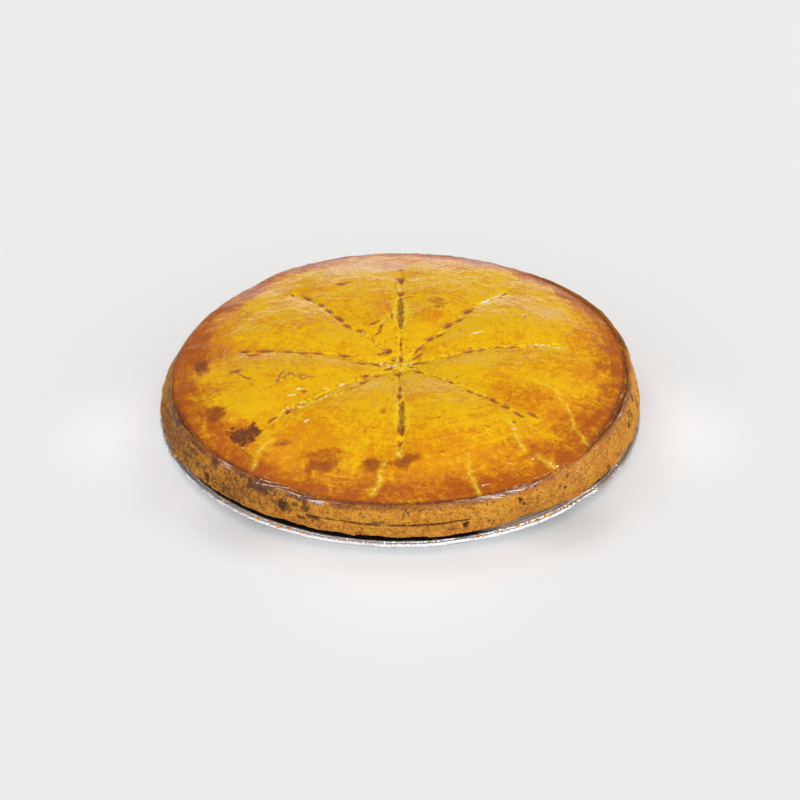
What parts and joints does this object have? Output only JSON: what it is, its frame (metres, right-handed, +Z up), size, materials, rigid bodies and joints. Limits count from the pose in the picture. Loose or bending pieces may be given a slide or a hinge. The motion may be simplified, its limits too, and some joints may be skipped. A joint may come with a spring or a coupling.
{
  "type": "apple pie",
  "caption": "Whole round apple pie with a puffed golden lid scored from the middle, standing in its own shallow foil tray.",
  "frame": {"origin": "on the surface that the tray stands on, under the middle of the tray", "axes": "+Z up out of the lid, -Y towards the pie's front"},
  "size_m": [0.264, 0.264, 0.0416],
  "materials": {
    "golden_crust": "egg-washed baked pastry, glossy on the lid and dry and crumbly on the wall",
    "aluminium_foil": "bright thin foil, slightly creased"
  },
  "bodies": {
    "root": {"pie": "golden_crust", "foil_tray": "aluminium_foil"}
  },
  "joints": []
}
